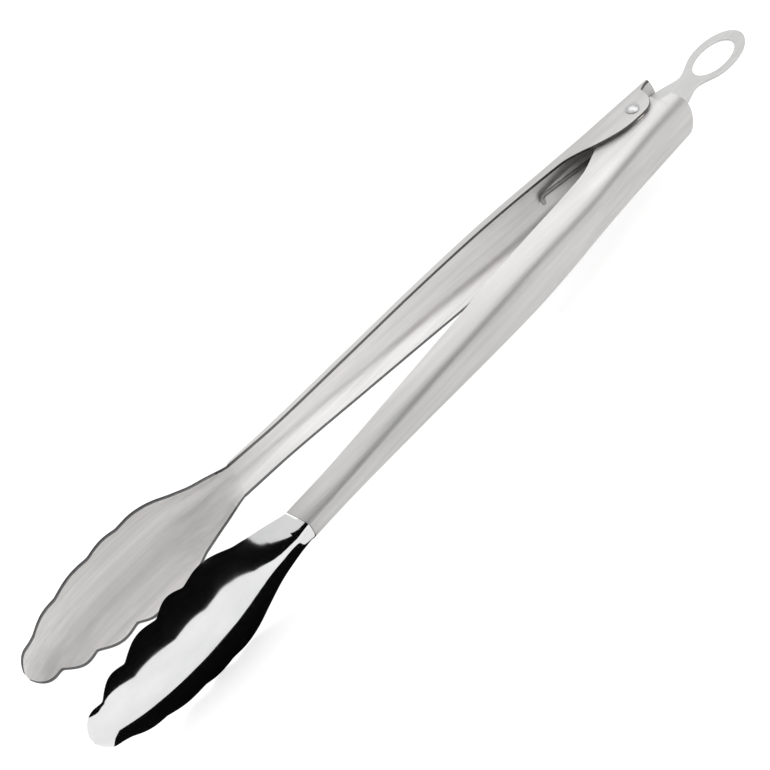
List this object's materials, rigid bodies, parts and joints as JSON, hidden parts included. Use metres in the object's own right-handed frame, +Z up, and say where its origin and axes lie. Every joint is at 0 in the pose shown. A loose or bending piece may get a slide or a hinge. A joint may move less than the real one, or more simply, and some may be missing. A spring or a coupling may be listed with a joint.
{
  "type": "spring loaded locking kitchen tongs",
  "caption": "Spring loaded steel kitchen tongs with channel handles, scalloped spoon jaws and a sliding lock tab with a hanging eye.",
  "frame": {"origin": "middle of the bounding box's bottom face: the tongs lie on their side, and the jaws' lower scallops touch z = 0", "axes": "+X from the pivot toward the jaw tips, Y the way the arms open with the front arm on +Y, +Z up along the pivot"},
  "size_m": [0.3034, 0.0464, 0.0461],
  "materials": {
    "handle_steel": "satin stainless, brushed lengthwise",
    "jaw_steel": "mirror polished outside, satin inside",
    "tab_steel": "satin stainless, tumbled edges",
    "rivet_steel": "bright, slightly worn dome",
    "spring_steel": "dark drawn wire",
    "white_nylon": "plain moulded nylon"
  },
  "bodies": {
    "front_arm": {"front_handle": "handle_steel", "front_jaw": "jaw_steel", "pivot_pin": "rivet_steel", "rivet_washer": "rivet_steel", "ear_washers": "white_nylon", "spring_bush": "white_nylon", "tab_spacer": "white_nylon", "torsion_spring": "spring_steel"},
    "rear_arm": {"rear_handle": "handle_steel", "rear_jaw": "jaw_steel"},
    "tab": {"lock_tab": "tab_steel"}
  },
  "joints": [
    {"name": "arm_hinge", "type": "hinge", "parent": "front_arm", "child": "rear_arm", "pos_m": [-0.10119, 0, 0.02305], "axis": [0, 0, 1], "range_deg": [0, 7.2], "stiffness_Nm_per_rad": 0.6, "springref_deg": -34.38, "deforming": ["torsion_spring"]},
    {"name": "tab_slide", "type": "slide", "parent": "front_arm", "child": "tab", "axis": [1, 0, 0], "range_m": [0, 0.008]}
  ]
}
